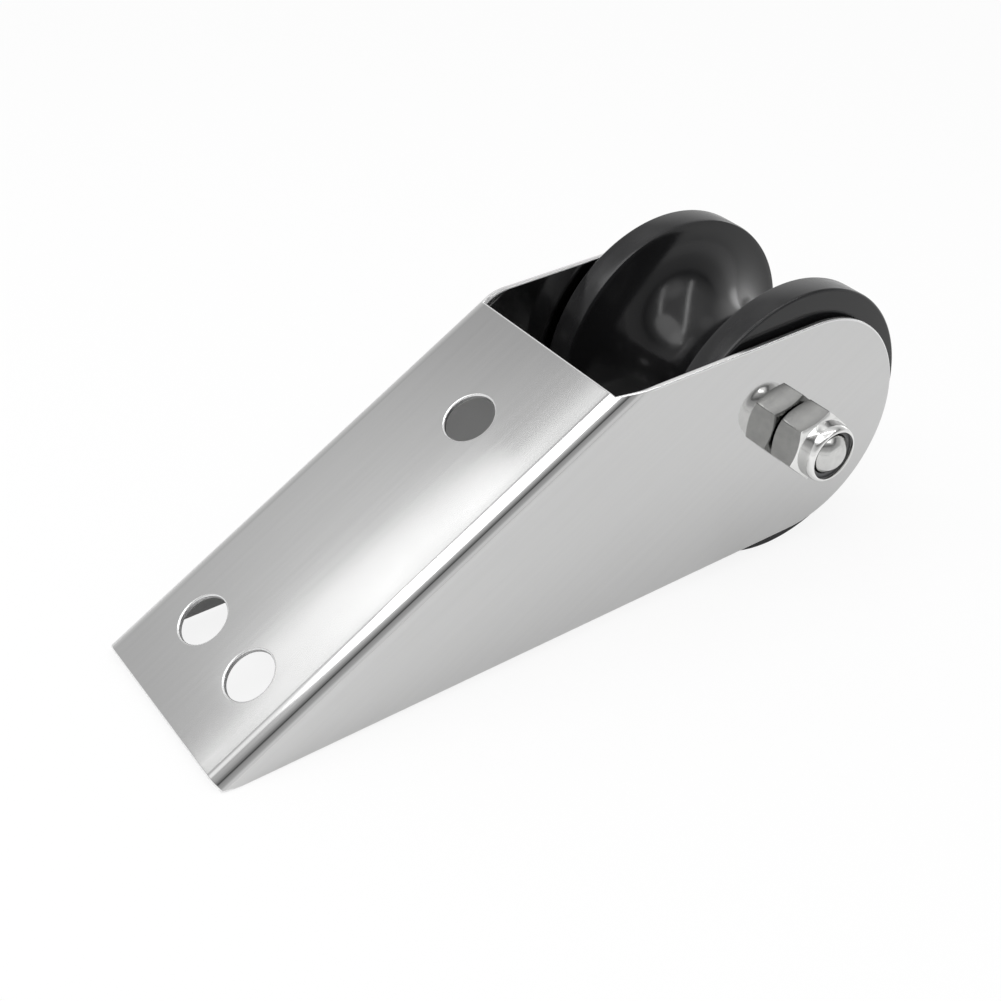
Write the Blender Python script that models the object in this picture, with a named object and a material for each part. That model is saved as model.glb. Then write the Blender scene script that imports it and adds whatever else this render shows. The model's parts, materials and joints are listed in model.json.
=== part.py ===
"""Small stainless bow roller: a channel bent from one sheet, with a grooved roller on a bolt.

Lengths are in metres. The part stands as it does on a bench, deck face up, on its tail and on the
roller's rims. The origin is on the deck face, midway between the two tail holes.

The bracket frame is the frame the sheet is laid out in: +X along the deck face from the tail to
the front edge, +Y towards the far cheek, +Z out of the deck face. The axle runs along Y.
"""
import math

import bmesh
import bpy
from mathutils import Matrix, Vector

MM = 0.001

# Bracket sheet
SHEET = 1.5 * MM
CHANNEL_WIDTH = 56.5 * MM
BEND_RADIUS = 4.9 * MM
WEB_LENGTH = 118.0 * MM
CHEEK_ANGLE = math.radians(28.9)
TAIL_DEPTH = 3.0 * MM
UPPER_EDGE_LENGTH = 57.8 * MM

# Deck bolt holes in the web
DECK_HOLE_RADIUS = 6.2 * MM
TAIL_HOLE_INSET = 20.0 * MM
TAIL_HOLE_SPACING = 22.0 * MM
FRONT_HOLE_INSET = 24.0 * MM

# Axle place, counted from the centre of the round nose
AXLE_SETBACK = 2.6 * MM
AXLE_RISE = 1.1 * MM

# Roller
RIM_STANDOUT = 6.1 * MM
RIM_WIDTH = 7.5 * MM
RIM_ROUNDING = 0.8 * MM
WAIST_RADIUS = 18.4 * MM
CHEEK_GAP = 1.3 * MM

# Bush, thrust washers and the pockets that the washers lie in
BUSH_WALL = 2.2 * MM
WASHER_RADIUS = 12.0 * MM
WASHER_THICKNESS = 1.2 * MM
POCKET_CLEARANCE = 1.0 * MM

# Bolt and lock nut
BOLT_RADIUS = 5.0 * MM
HEX_FLATS = 16.0 * MM
HEAD_HEIGHT = 6.4 * MM
NUT_HEX_HEIGHT = 8.4 * MM
COLLAR_HEIGHT = 4.3 * MM
COLLAR_WALL = 0.5 * MM
COLLAR_LIP = 0.4 * MM
INSERT_HEIGHT = 2.8 * MM
INSERT_WALL = 1.4 * MM
BOLT_END_PROUD = 1.2 * MM
BOLT_END_ROUNDING = 1.2 * MM
HEX_CHAMFER_ANGLE = math.radians(30.0)
HEX_CHAMFER_INSET = 0.4 * MM
HEX_TURN = math.radians(107.0)

# Clearance kept between neighbouring pieces
FIT = 0.3 * MM

# Facets of the round shapes
BEND_STEPS = 6
NOSE_STEPS = 40
ROLLER_STEPS = 48
GROOVE_STEPS = 14
ROUNDING_STEPS = 3
HARDWARE_STEPS = 36

# Margin by which a cutter runs past the piece it cuts
OVERCUT = 5.0 * MM

# Points closer than this are one point, and faces that meet at less than this angle look smooth
MERGE_DISTANCE = 0.001 * MM
SMOOTH_ANGLE = math.radians(30.0)

# Places worked out from the sizes above
HALF_WIDTH = CHANNEL_WIDTH / 2
CHEEK_INSIDE = HALF_WIDTH - SHEET
NOSE_REACH = WEB_LENGTH * math.cos(CHEEK_ANGLE) + UPPER_EDGE_LENGTH
NOSE_RADIUS = (WEB_LENGTH * math.sin(CHEEK_ANGLE) + TAIL_DEPTH * math.cos(CHEEK_ANGLE)) / 2
LOWER_EDGE_HEIGHT = -TAIL_DEPTH * math.cos(CHEEK_ANGLE)
ROLLER_RADIUS = NOSE_RADIUS + RIM_STANDOUT
NUT_SEAT = -HALF_WIDTH - FIT
NUT_END = NUT_SEAT - NUT_HEX_HEIGHT - COLLAR_HEIGHT
WASHER_OUTSIDE = CHEEK_INSIDE - FIT
HUB_HALF_WIDTH = WASHER_OUTSIDE - WASHER_THICKNESS - FIT
RUNNING_RADIUS = BOLT_RADIUS + FIT
BUSH_RADIUS = RUNNING_RADIUS + BUSH_WALL


def along_cheek(reach, height):
    """Bracket-frame X and Z of a point given along and across a cheek's straight edges."""
    cos, sin = math.cos(CHEEK_ANGLE), math.sin(CHEEK_ANGLE)
    return reach * cos + height * sin, height * cos - reach * sin


NOSE_CENTRE = along_cheek(NOSE_REACH, LOWER_EDGE_HEIGHT + NOSE_RADIUS)
AXLE = along_cheek(NOSE_REACH - AXLE_SETBACK, LOWER_EDGE_HEIGHT + NOSE_RADIUS + AXLE_RISE)


def standing_pitch():
    """Slope of the deck face when the part stands on its tail corners and its roller."""
    run, drop = AXLE[0], AXLE[1] + TAIL_DEPTH
    return math.asin(ROLLER_RADIUS / math.hypot(run, drop)) - math.atan2(drop, run)


def clear_scene():
    for old in list(bpy.data.objects):
        bpy.data.objects.remove(old, do_unlink=True)


def make_material(name, colour, metallic, roughness):
    material = bpy.data.materials.new(name)
    material.use_nodes = True
    shader = material.node_tree.nodes["Principled BSDF"]
    shader.inputs["Base Color"].default_value = (*colour, 1.0)
    shader.inputs["Metallic"].default_value = metallic
    shader.inputs["Roughness"].default_value = roughness
    return material


def make_empty(name, location, rotation=(0.0, 0.0, 0.0), parent=None):
    empty = bpy.data.objects.new(name, None)
    empty.location = location
    empty.rotation_euler = rotation
    empty.parent = parent
    bpy.context.collection.objects.link(empty)
    return empty


def make_object(name, bm, parent, material=None):
    """Turn a finished bmesh into an object that hangs on its parent."""
    bmesh.ops.recalc_face_normals(bm, faces=bm.faces)
    mesh = bpy.data.meshes.new(name)
    bm.to_mesh(mesh)
    bm.free()
    mesh.shade_smooth()
    mesh.set_sharp_from_angle(angle=SMOOTH_ANGLE)
    made = bpy.data.objects.new(name, mesh)
    made.parent = parent
    bpy.context.collection.objects.link(made)
    if material:
        mesh.materials.append(material)
    return made


def make_cutter(name, bm, parent):
    cutter = make_object(name, bm, parent)
    cutter.hide_render = True
    cutter.display_type = "WIRE"
    return cutter


def add_boolean(piece, cutter, operation):
    boolean = piece.modifiers.new(cutter.name, "BOOLEAN")
    boolean.object = cutter
    boolean.operation = operation
    boolean.solver = "EXACT"


def arc(centre, radius, start, end, steps):
    """Points of an arc from one angle to another, both ends included."""
    angles = [start + (end - start) * i / steps for i in range(steps + 1)]
    return [(centre[0] + radius * math.cos(a), centre[1] + radius * math.sin(a)) for a in angles]


def turned(profile, steps):
    """Solid turned about Y from a profile of (radius, y) points.

    A profile that starts and ends on the axis closes there. Any other closes on itself.
    """
    bm = bmesh.new()
    verts = [bm.verts.new((radius, y, 0.0)) for radius, y in profile]
    edges = [bm.edges.new(pair) for pair in zip(verts, verts[1:])]
    if profile[0][0] > 0.0:
        edges.append(bm.edges.new((verts[-1], verts[0])))
    bmesh.ops.spin(bm, geom=verts + edges, axis=(0.0, 1.0, 0.0), cent=(0.0, 0.0, 0.0),
                   angle=2 * math.pi, steps=steps, use_merge=True)
    bmesh.ops.remove_doubles(bm, verts=bm.verts, dist=MERGE_DISTANCE)
    return bm


def extruded(outline, direction):
    """Solid extruded from a flat outline of 3-D points."""
    bm = bmesh.new()
    face = bm.faces.new([bm.verts.new(point) for point in outline])
    swept = bmesh.ops.extrude_face_region(bm, geom=[face])
    far_end = [item for item in swept["geom"] if isinstance(item, bmesh.types.BMVert)]
    bmesh.ops.translate(bm, verts=far_end, vec=Vector(direction))
    return bm


def rod(radius, start, end, steps):
    """Plain round rod along Y."""
    return turned([(0.0, start), (radius, start), (radius, end), (0.0, end)], steps)


def moved(bm, x=0.0, y=0.0, z=0.0):
    bmesh.ops.translate(bm, verts=bm.verts, vec=(x, y, z))
    return bm


def channel_section():
    """Y and Z of the bent sheet's section, open towards -Z, with legs longer than the cheeks."""
    leg_end = -(WEB_LENGTH + NOSE_REACH)
    inner_radius = BEND_RADIUS - SHEET
    bend_y = HALF_WIDTH - BEND_RADIUS
    outer_right = arc((bend_y, -BEND_RADIUS), BEND_RADIUS, 0.0, math.pi / 2, BEND_STEPS)
    inner_right = arc((bend_y, -BEND_RADIUS), inner_radius, math.pi / 2, 0.0, BEND_STEPS)
    outer_left = [(-y, z) for y, z in reversed(outer_right)]
    inner_left = [(-y, z) for y, z in reversed(inner_right)]
    outside = [(HALF_WIDTH, leg_end)] + outer_right + outer_left + [(-HALF_WIDTH, leg_end)]
    inside = [(-CHEEK_INSIDE, leg_end)] + inner_left + inner_right + [(CHEEK_INSIDE, leg_end)]
    return outside + inside


def cheek_outline():
    """X and Z of the bracket's side view: tail, lower edge, round nose, upper edge, web front."""
    down = -CHEEK_ANGLE - math.pi / 2
    up = -CHEEK_ANGLE + math.pi / 2
    nose = arc(NOSE_CENTRE, NOSE_RADIUS, down, up, NOSE_STEPS)
    return [(0.0, OVERCUT), (0.0, -TAIL_DEPTH)] + nose + [(WEB_LENGTH, 0.0), (WEB_LENGTH, OVERCUT)]


def build_bracket(frame, steel):
    section = [(-OVERCUT, y, z) for y, z in channel_section()]
    length = NOSE_REACH + NOSE_RADIUS + 2 * OVERCUT
    bracket = make_object("channel_bracket", extruded(section, (length, 0.0, 0.0)), frame, steel)

    half_cut = HALF_WIDTH + OVERCUT
    outline = [(x, -half_cut, z) for x, z in cheek_outline()]
    side_view = make_cutter("bracket_side_view", extruded(outline, (0.0, 2 * half_cut, 0.0)), frame)
    add_boolean(bracket, side_view, "INTERSECT")

    # The web's front edge is cut square across, between the cheeks.
    relief = bmesh.new()
    bmesh.ops.create_cube(relief, size=1.0)
    relief_length, relief_depth = BEND_RADIUS / math.tan(CHEEK_ANGLE) + OVERCUT, BEND_RADIUS + OVERCUT
    size = Matrix.Diagonal((relief_length, 2 * CHEEK_INSIDE, 2 * relief_depth))
    bmesh.ops.transform(relief, matrix=size.to_4x4(), verts=relief.verts)
    moved(relief, x=WEB_LENGTH + relief_length / 2)
    add_boolean(bracket, make_cutter("web_front_relief", relief, frame), "DIFFERENCE")

    places = [(TAIL_HOLE_INSET, -TAIL_HOLE_SPACING / 2), (TAIL_HOLE_INSET, TAIL_HOLE_SPACING / 2),
              (WEB_LENGTH - FRONT_HOLE_INSET, 0.0)]
    for number, (x, y) in enumerate(places, start=1):
        drill = rod(DECK_HOLE_RADIUS, -OVERCUT, OVERCUT, HARDWARE_STEPS)
        bmesh.ops.rotate(drill, verts=drill.verts, matrix=Matrix.Rotation(math.pi / 2, 3, "X"))
        moved(drill, x=x, y=y)
        add_boolean(bracket, make_cutter(f"deck_hole_{number}", drill, frame), "DIFFERENCE")

    drill = moved(rod(RUNNING_RADIUS, -half_cut, half_cut, HARDWARE_STEPS), x=AXLE[0], z=AXLE[1])
    add_boolean(bracket, make_cutter("axle_holes", drill, frame), "DIFFERENCE")


def roller_profile():
    """Radius and y around the roller's half section, from the bore's +Y end to its -Y end."""
    bore = BUSH_RADIUS + FIT
    pocket = WASHER_RADIUS + POCKET_CLEARANCE
    half = CHEEK_INSIDE - CHEEK_GAP
    groove_half = half - RIM_WIDTH
    corner = arc((ROLLER_RADIUS - RIM_ROUNDING, half - RIM_ROUNDING), RIM_ROUNDING,
                 math.pi / 2, 0.0, ROUNDING_STEPS)
    right = [(bore, HUB_HALF_WIDTH), (pocket, HUB_HALF_WIDTH), (pocket, half)] + corner
    depth = ROLLER_RADIUS - WAIST_RADIUS
    turns = [math.pi * i / GROOVE_STEPS for i in range(GROOVE_STEPS + 1)]
    groove = [(ROLLER_RADIUS - depth * math.sin(t), groove_half * math.cos(t)) for t in turns]
    left = [(radius, -y) for radius, y in reversed(right)]
    return right + groove + left


def build_roller(axis, rubber, bush_nylon):
    make_object("roller", turned(roller_profile(), ROLLER_STEPS), axis, rubber)
    bush = [(RUNNING_RADIUS, -HUB_HALF_WIDTH), (BUSH_RADIUS, -HUB_HALF_WIDTH),
            (BUSH_RADIUS, HUB_HALF_WIDTH), (RUNNING_RADIUS, HUB_HALF_WIDTH)]
    make_object("roller_bush", turned(bush, HARDWARE_STEPS), axis, bush_nylon)


def build_thrust_washers(axle, nylon):
    for name, side in (("near_thrust_washer", -1.0), ("far_thrust_washer", 1.0)):
        outside = side * WASHER_OUTSIDE
        inside = side * (WASHER_OUTSIDE - WASHER_THICKNESS)
        ring = [(RUNNING_RADIUS, inside), (WASHER_RADIUS, inside),
                (WASHER_RADIUS, outside), (RUNNING_RADIUS, outside)]
        make_object(name, turned(ring, HARDWARE_STEPS), axle, nylon)


def chamfered(seat, end):
    """Half profile of a turned barrel that takes the corners off a hexagon between two heights.

    The barrel starts at the seat, inside the flats, and widens past the corners at both ends.
    """
    flat_circle = HEX_FLATS / 2 - HEX_CHAMFER_INSET
    past_corners = HEX_FLATS / math.sqrt(3.0) + HEX_CHAMFER_INSET
    rise = math.copysign((past_corners - flat_circle) * math.tan(HEX_CHAMFER_ANGLE), end - seat)
    return [(flat_circle, seat), (past_corners, seat + rise),
            (past_corners, end - rise), (flat_circle, end)]


def hexagonal(name, axle, barrel, steel):
    """A hexagon bar cut to a turned barrel that lies along Y."""
    heights = [y for _, y in barrel]
    corner = HEX_FLATS / math.sqrt(3.0)
    low, high = min(heights) - OVERCUT, max(heights) + OVERCUT
    turns = [HEX_TURN + math.pi / 3 * i for i in range(6)]
    outline = [(corner * math.cos(t), low, corner * math.sin(t)) for t in turns]
    bar = make_object(name, extruded(outline, (0.0, high - low, 0.0)), axle, steel)
    turning = make_cutter(f"{name}_turning", turned(barrel, HARDWARE_STEPS), axle)
    add_boolean(bar, turning, "INTERSECT")


def build_bolt(axle, steel):
    """Bolt with its head on the far side and its rounded end past the lock nut."""
    seat = HALF_WIDTH + FIT
    tip = NUT_END - BOLT_END_PROUD
    head = list(reversed(chamfered(seat, seat + HEAD_HEIGHT)))
    end = arc((BOLT_RADIUS - BOLT_END_ROUNDING, tip + BOLT_END_ROUNDING), BOLT_END_ROUNDING,
              0.0, -math.pi / 2, ROUNDING_STEPS)
    barrel = [(0.0, seat + HEAD_HEIGHT)] + head + [(BOLT_RADIUS, seat)] + end + [(0.0, tip)]
    hexagonal("axle_bolt", axle, barrel, steel)


def build_lock_nut(axle, steel, nylon):
    """Nut whose round collar holds a nylon ring under its rolled lip."""
    hex_end = NUT_SEAT - NUT_HEX_HEIGHT
    insert_inside = hex_end - FIT
    insert_outside = insert_inside - INSERT_HEIGHT
    insert_radius = RUNNING_RADIUS + INSERT_WALL
    pocket = insert_radius + FIT
    collar_radius = pocket + COLLAR_WALL
    lip_inside = insert_outside - FIT
    rounding = arc((collar_radius - COLLAR_LIP, NUT_END + COLLAR_LIP), COLLAR_LIP,
                   0.0, -math.pi / 2, ROUNDING_STEPS)
    barrel = chamfered(NUT_SEAT, hex_end)
    barrel += [(collar_radius, hex_end)] + rounding
    barrel += [(insert_radius - COLLAR_LIP, NUT_END), (insert_radius - COLLAR_LIP, lip_inside)]
    barrel += [(pocket, lip_inside), (pocket, hex_end)]
    barrel += [(RUNNING_RADIUS, hex_end), (RUNNING_RADIUS, NUT_SEAT)]
    hexagonal("lock_nut", axle, barrel, steel)

    ring = [(RUNNING_RADIUS, insert_inside), (insert_radius, insert_inside),
            (insert_radius, insert_outside), (RUNNING_RADIUS, insert_outside)]
    make_object("lock_nut_insert", turned(ring, HARDWARE_STEPS), axle, nylon)


def main():
    clear_scene()
    steel = make_material("stainless_sheet", (0.62, 0.62, 0.62), 1.0, 0.15)
    bolt_steel = make_material("stainless_fastener", (0.66, 0.66, 0.65), 1.0, 0.32)
    rubber = make_material("black_rubber", (0.025, 0.025, 0.027), 0.0, 0.42)
    nylon = make_material("white_nylon", (0.82, 0.81, 0.77), 0.0, 0.5)
    bush_nylon = make_material("grey_nylon", (0.35, 0.35, 0.36), 0.0, 0.45)
    ring_nylon = make_material("dark_nylon", (0.07, 0.07, 0.07), 0.0, 0.45)

    pitch = standing_pitch()
    origin = Vector((TAIL_HOLE_INSET * math.cos(pitch), 0.0, TAIL_HOLE_INSET * math.sin(pitch)))
    frame = make_empty("bracket_frame", -origin, rotation=(0.0, -pitch, 0.0))
    axle = make_empty("axle_axis", (AXLE[0], 0.0, AXLE[1]), parent=frame)
    spin_axis = make_empty("roller_axis", (0.0, 0.0, 0.0), parent=axle)

    build_bracket(frame, steel)
    build_roller(spin_axis, rubber, bush_nylon)
    build_thrust_washers(axle, nylon)
    build_bolt(axle, bolt_steel)
    build_lock_nut(axle, bolt_steel, ring_nylon)


main()
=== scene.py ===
"""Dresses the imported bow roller: a folded stainless sheet, a moulded roller and milled fasteners.

Lengths are in metres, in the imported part's frame. The bracket frame is the frame that the sheet is
laid out in: +X along the deck face from the tail to its front edge, +Y towards the far cheek, +Z
out of the deck face. Round pieces are turned about the axle, which runs along Y.
"""

import json
import math

import bmesh
import bpy
from mathutils import Matrix, Vector


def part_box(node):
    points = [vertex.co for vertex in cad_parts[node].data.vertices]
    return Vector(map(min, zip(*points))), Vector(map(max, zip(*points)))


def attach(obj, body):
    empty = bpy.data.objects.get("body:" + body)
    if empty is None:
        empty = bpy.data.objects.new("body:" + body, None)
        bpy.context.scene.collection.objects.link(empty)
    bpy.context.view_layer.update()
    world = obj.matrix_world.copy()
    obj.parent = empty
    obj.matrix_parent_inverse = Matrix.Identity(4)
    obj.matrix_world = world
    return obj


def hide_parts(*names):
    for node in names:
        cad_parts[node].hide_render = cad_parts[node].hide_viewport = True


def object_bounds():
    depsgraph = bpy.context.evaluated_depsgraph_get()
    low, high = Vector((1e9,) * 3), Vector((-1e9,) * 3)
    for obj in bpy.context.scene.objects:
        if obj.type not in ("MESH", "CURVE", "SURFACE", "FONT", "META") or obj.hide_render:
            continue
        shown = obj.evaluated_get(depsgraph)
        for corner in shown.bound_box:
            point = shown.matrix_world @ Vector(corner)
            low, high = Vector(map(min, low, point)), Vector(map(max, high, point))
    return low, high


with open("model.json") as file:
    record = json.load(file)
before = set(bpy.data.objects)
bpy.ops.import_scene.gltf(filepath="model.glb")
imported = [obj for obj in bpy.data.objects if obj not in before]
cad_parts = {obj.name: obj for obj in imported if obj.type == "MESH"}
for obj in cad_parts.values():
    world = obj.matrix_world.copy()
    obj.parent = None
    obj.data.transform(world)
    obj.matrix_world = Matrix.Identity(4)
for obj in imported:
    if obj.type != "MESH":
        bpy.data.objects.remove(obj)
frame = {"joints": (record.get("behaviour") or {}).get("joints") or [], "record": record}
cad_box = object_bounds()

MM = 0.001

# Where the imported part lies: the tilt of its deck face, and its axle
DECK_NORMAL = Vector(frame["record"]["mounts"][0]["axis"])
PITCH = math.atan2(-DECK_NORMAL.x, DECK_NORMAL.z)
AXLE = Vector(frame["joints"][0]["pos_m"])

# Bracket sheet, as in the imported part
SHEET = 1.5 * MM
HALF_WIDTH = 28.25 * MM
BEND_RADIUS = 4.9 * MM
WEB_LENGTH = 118.0 * MM
CHEEK_ANGLE = math.radians(28.9)
TAIL_DEPTH = 3.0 * MM
UPPER_EDGE_LENGTH = 57.8 * MM
DECK_HOLE_RADIUS = 6.2 * MM
TAIL_HOLE_INSET = 20.0 * MM
TAIL_HOLE_SPACING = 22.0 * MM
FRONT_HOLE_INSET = 24.0 * MM
AXLE_HOLE_RADIUS = 5.3 * MM

# Sheet finish: broken edges, and steps of the round shapes
EDGE_BREAK = 0.5 * MM
EDGE_BREAK_STEPS = 4
BEND_STEPS = 18
NOSE_STEPS = 120
HOLE_STEPS = 72
CREASE_ANGLE = math.radians(24.0)

# Roller, bush and washers
ROLLER_RADIUS = AXLE.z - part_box("roller")[0].z
ROLLER_HALF_WIDTH = 25.45 * MM
RIM_WIDTH = 7.5 * MM
RIM_ROUNDING = 0.8 * MM
GROOVE_EDGE_ROUNDING = 0.8 * MM
WAIST_RADIUS = 18.4 * MM
HUB_HALF_WIDTH = 24.95 * MM
BORE_RADIUS = 7.8 * MM
POCKET_RADIUS = 13.0 * MM
BUSH_RADIUS = 7.5 * MM
RUNNING_RADIUS = 5.3 * MM
WASHER_RADIUS = 12.0 * MM
WASHER_OUTSIDE = 26.45 * MM
WASHER_THICKNESS = 1.2 * MM
ROLLER_STEPS = 160
GROOVE_STEPS = 56
ROUNDING_STEPS = 8
TURNED_STEPS = 96

# Bolt and lock nut
BOLT_RADIUS = 5.0 * MM
HEX_FLATS = 16.0 * MM
HEX_TURN = math.radians(107.0) + PITCH
HEX_COLUMNS = 24 * 6
CORNER_CROWDING = 2.0
CHAMFER_ANGLE = math.radians(30.0)
FLAT_CIRCLE_INSET = 0.4 * MM
FLAT_CIRCLE = HEX_FLATS / 2 - FLAT_CIRCLE_INSET
COUNTERSINK = 0.4 * MM
FIT = 0.3 * MM
HEAD_SEAT = HALF_WIDTH + FIT
HEAD_HEIGHT = 6.4 * MM
NUT_SEAT = -HALF_WIDTH - FIT
NUT_HEX_HEIGHT = 8.4 * MM
HEX_END = NUT_SEAT - NUT_HEX_HEIGHT
COLLAR_HEIGHT = 4.3 * MM
NUT_END = HEX_END - COLLAR_HEIGHT
INSERT_RADIUS = 6.7 * MM
INSERT_HEIGHT = 2.8 * MM
COLLAR_POCKET = INSERT_RADIUS + FIT
COLLAR_WALL = 0.5 * MM
COLLAR_RADIUS = COLLAR_POCKET + COLLAR_WALL
COLLAR_LIP = 0.4 * MM
COLLAR_SHOULDER = 2.4 * MM
COLLAR_SHOULDER_SHARE = 0.9
COLLAR_SHOULDER_STEPS = 12
TIP_PAST_NUT = 1.2 * MM
BOLT_TIP = NUT_END - TIP_PAST_NUT
BOLT_POINT = 2.0 * MM
BOLT_FACE_RADIUS = 2.8 * MM
THREAD_PITCH = 1.5 * MM
THREAD_DEPTH = 0.7 * MM
THREAD_ROWS_PER_TURN = 10

# Shares of a half turn of the thread at which its flank leaves the crest and reaches the root
THREAD_CREST = 0.08
THREAD_ROOT = 0.44

# Easing of the turned corners: everywhere, where the bolt's point starts, and where it ends
SOFT_EDGE = 0.12 * MM
POINT_EASE = 0.48 * MM
FACE_EASE = 0.72 * MM

MERGE_DISTANCE = 0.001 * MM


# Small shared tools

def to_row():
    """Turns bracket-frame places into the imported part's frame."""
    return Matrix.Rotation(-PITCH, 4, "Y") @ Matrix.Translation((-TAIL_HOLE_INSET, 0.0, 0.0))


def arc(centre, radius, start, end, steps):
    """Points of an arc from one angle to another, both ends included."""
    angles = [start + (end - start) * i / steps for i in range(steps + 1)]
    return [(centre[0] + radius * math.cos(a), centre[1] + radius * math.sin(a)) for a in angles]


def put_in_scene(name, mesh):
    made = bpy.data.objects.new(name, mesh)
    bpy.context.scene.collection.objects.link(made)
    return made


def connect(tree, socket, value):
    """Link a node's input to another node's output, or give it a plain value."""
    if isinstance(value, bpy.types.NodeSocket):
        tree.links.new(value, socket)
    else:
        socket.default_value = value


def add_node(tree, kind, *values, **settings):
    """A node with its settings made, and its first inputs linked or given in order."""
    made = tree.nodes.new(kind)
    for name, value in settings.items():
        setattr(made, name, value)
    for socket, value in zip([s for s in made.inputs if s.enabled], values):
        connect(tree, socket, value)
    return made


def calc(tree, operation, *values):
    made = tree.nodes.new("ShaderNodeMath")
    made.operation = operation
    for socket, value in zip(made.inputs, values):
        connect(tree, socket, value)
    return made.outputs[0]


def remap(tree, value, from_low, from_high, to_low, to_high):
    made = add_node(tree, "ShaderNodeMapRange")
    for name, given in (("Value", value), ("From Min", from_low), ("From Max", from_high),
                        ("To Min", to_low), ("To Max", to_high)):
        connect(tree, made.inputs[name], given)
    return made.outputs["Result"]


# Sheet bracket: a flat blank with broken edges, folded along its two bends

def along_cheek(reach, height):
    """Bracket-frame X and Z of a point given along and across a cheek's straight edges."""
    cos, sin = math.cos(CHEEK_ANGLE), math.sin(CHEEK_ANGLE)
    return reach * cos + height * sin, height * cos - reach * sin


BEND_Y = HALF_WIDTH - BEND_RADIUS
FOLD_RADIUS = BEND_RADIUS - SHEET / 2
BEND_LENGTH = FOLD_RADIUS * math.pi / 2


def unfolded(z):
    """How far from the centreline a place on a cheek lies in the flat blank."""
    return BEND_Y + BEND_LENGTH - BEND_RADIUS - z


def folded(point):
    """Where a point of the flat blank goes when the sheet is bent."""
    x, across, out = point
    side = math.copysign(1.0, across)
    past = abs(across) - BEND_Y
    if past <= 0.0:
        return x, across, out - SHEET / 2
    if past >= BEND_LENGTH:
        return x, side * (HALF_WIDTH - SHEET / 2 + out), -BEND_RADIUS - (past - BEND_LENGTH)
    turn = past / FOLD_RADIUS
    radius = FOLD_RADIUS + out
    return x, side * (BEND_Y + radius * math.sin(turn)), -BEND_RADIUS + radius * math.cos(turn)


def cheek_blank():
    """One half of the blank's outline, from the tail round the nose to the web's front edge."""
    nose_reach = WEB_LENGTH * math.cos(CHEEK_ANGLE) + UPPER_EDGE_LENGTH
    nose_radius = (WEB_LENGTH * math.sin(CHEEK_ANGLE) + TAIL_DEPTH * math.cos(CHEEK_ANGLE)) / 2
    centre = along_cheek(nose_reach, nose_radius - TAIL_DEPTH * math.cos(CHEEK_ANGLE))
    nose = arc(centre, nose_radius, -CHEEK_ANGLE - math.pi / 2, -CHEEK_ANGLE + math.pi / 2, NOSE_STEPS)
    outline = [(0.0, unfolded(-TAIL_DEPTH))] + [(x, unfolded(z)) for x, z in nose]
    return outline + [(WEB_LENGTH, unfolded(0.0))]


def round_hole(x, across, radius):
    """A hole's outline, run clockwise so that the sheet is on its left."""
    return arc((x, across), radius, 2 * math.pi, 0.0, HOLE_STEPS)[:-1]


def blank_outlines():
    far = cheek_blank()
    near = [(x, -across) for x, across in reversed(far)]
    axle_x = AXLE.x * math.cos(PITCH) + AXLE.z * math.sin(PITCH) + TAIL_HOLE_INSET
    axle_z = AXLE.z * math.cos(PITCH) - AXLE.x * math.sin(PITCH)
    holes = [round_hole(TAIL_HOLE_INSET, side * TAIL_HOLE_SPACING / 2, DECK_HOLE_RADIUS)
             for side in (-1, 1)]
    holes.append(round_hole(WEB_LENGTH - FRONT_HOLE_INSET, 0.0, DECK_HOLE_RADIUS))
    holes += [round_hole(axle_x, side * unfolded(axle_z), AXLE_HOLE_RADIUS) for side in (-1, 1)]
    return [list(reversed(near + far))] + holes


def fold_direction(way, across):
    """Where a direction in the flat blank points once the sheet is bent there."""
    x, sideways, out = way
    side = math.copysign(1.0, across)
    turn = min(max((abs(across) - BEND_Y) / FOLD_RADIUS, 0.0), math.pi / 2)
    cos, sin = math.cos(turn), side * math.sin(turn)
    return Vector((x, sideways * cos + out * sin, out * cos - sideways * sin))


def segments(outline):
    """The direction of each side of a closed outline, starting from its first point."""
    following = outline[1:] + outline[:1]
    return [(Vector(after) - Vector(here)).normalized() for here, after in zip(outline, following)]


def drawn_in(outline, distance):
    """The outline moved into the sheet by a distance, corners mitred."""
    ways = segments(outline)
    moved = []
    for here, first, second in zip(outline, ways[-1:] + ways[:-1], ways):
        inward = Vector((-first.y - second.y, first.x + second.x))
        moved.append(Vector(here) + inward * distance / (1.0 + first.dot(second)))
    return moved


def outward_ways(outline):
    """The outward direction at both ends of each side, shared with the next side except at a corner."""
    ways = segments(outline)
    pairs = []
    for before, here, after in zip(ways[-1:] + ways[:-1], ways, ways[1:] + ways[:1]):
        ends = [here + other if here.angle(other) < CREASE_ANGLE else here for other in (before, after)]
        pairs.append([Vector((end.y, -end.x, 0.0)).normalized() for end in ends])
    return pairs


def broken_edge():
    """Rings across the sheet's edge: how far in, how high, and how the surface leans out and up."""
    turns = [math.pi / 2 * i / EDGE_BREAK_STEPS for i in range(EDGE_BREAK_STEPS + 1)]
    lower = [(EDGE_BREAK * (1 - math.sin(t)), EDGE_BREAK * (1 - math.cos(t)) - SHEET / 2,
              math.sin(t), -math.cos(t)) for t in turns]
    return lower + [(inset, -height, out, -up) for inset, height, out, up in reversed(lower)]


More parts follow.
